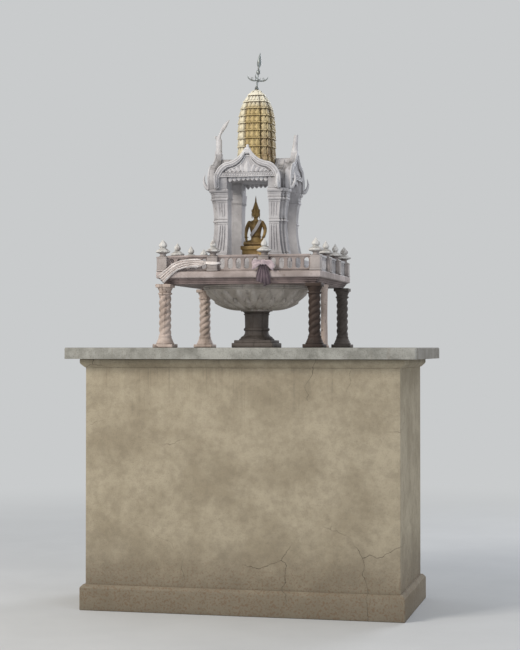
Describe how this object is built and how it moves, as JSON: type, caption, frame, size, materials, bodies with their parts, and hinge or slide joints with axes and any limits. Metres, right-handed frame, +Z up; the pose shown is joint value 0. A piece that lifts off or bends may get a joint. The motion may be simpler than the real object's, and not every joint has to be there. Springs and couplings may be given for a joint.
{
  "type": "spirit house",
  "caption": "Four-porched shrine with ogee gables and a tiered golden spire, on a balustraded platform carried by corner posts and a flared pedestal over a slab-topped plinth.",
  "frame": {"origin": "on the ground, at the centre of the footing's underside", "axes": "+Z up, the front with the longest side of the table slab looks along -Y, +X to the right of someone facing the front"},
  "size_m": [2.07, 1.02, 3.298],
  "materials": {
    "white_painted_concrete": "weathered",
    "gilded_concrete": "weathered",
    "beige_render": "weathered",
    "painted_posts": "weathered",
    "lilac_cloth": "weathered",
    "white_cloth": "weathered",
    "grey_metal": "weathered",
    "grey_concrete": "weathered"
  },
  "bodies": {
    "root": {"eave_finials": "white_painted_concrete", "figure": "gilded_concrete", "footing": "beige_render", "gable_back": "white_painted_concrete", "gable_front": "white_painted_concrete", "gable_left": "white_painted_concrete", "gable_right": "white_painted_concrete", "horn_back": "white_painted_concrete", "horn_front": "white_painted_concrete", "horn_left": "white_painted_concrete", "horn_right": "white_painted_concrete", "pedestal": "white_painted_concrete", "pedestal_bowl": "white_painted_concrete", "pier_back_left": "white_painted_concrete", "pier_back_right": "white_painted_concrete", "pier_front_left": "white_painted_concrete", "pier_front_right": "white_painted_concrete", "platform_slab": "white_painted_concrete", "platform_soffit": "white_painted_concrete", "plinth_back_wall": "beige_render", "plinth_cap": "beige_render", "plinth_front_wall": "beige_render", "plinth_left_wall": "beige_render", "plinth_right_wall": "beige_render", "post_back_left": "painted_posts", "post_back_right": "painted_posts", "post_cloth": "lilac_cloth", "post_front_left": "painted_posts", "post_front_right": "painted_posts", "rail_back": "white_painted_concrete", "rail_corner_posts": "white_painted_concrete", "rail_front": "white_painted_concrete", "rail_front_and_back_posts": "white_painted_concrete", "rail_left": "white_painted_concrete", "rail_right": "white_painted_concrete", "rail_side_posts": "white_painted_concrete", "rail_swag": "white_cloth", "right_prop": "painted_posts", "roof": "white_painted_concrete", "shrine_base": "white_painted_concrete", "spire": "gilded_concrete", "spire_base": "gilded_concrete", "spire_finial": "grey_metal", "table_slab": "grey_concrete", "throne": "gilded_concrete"}
  },
  "joints": []
}
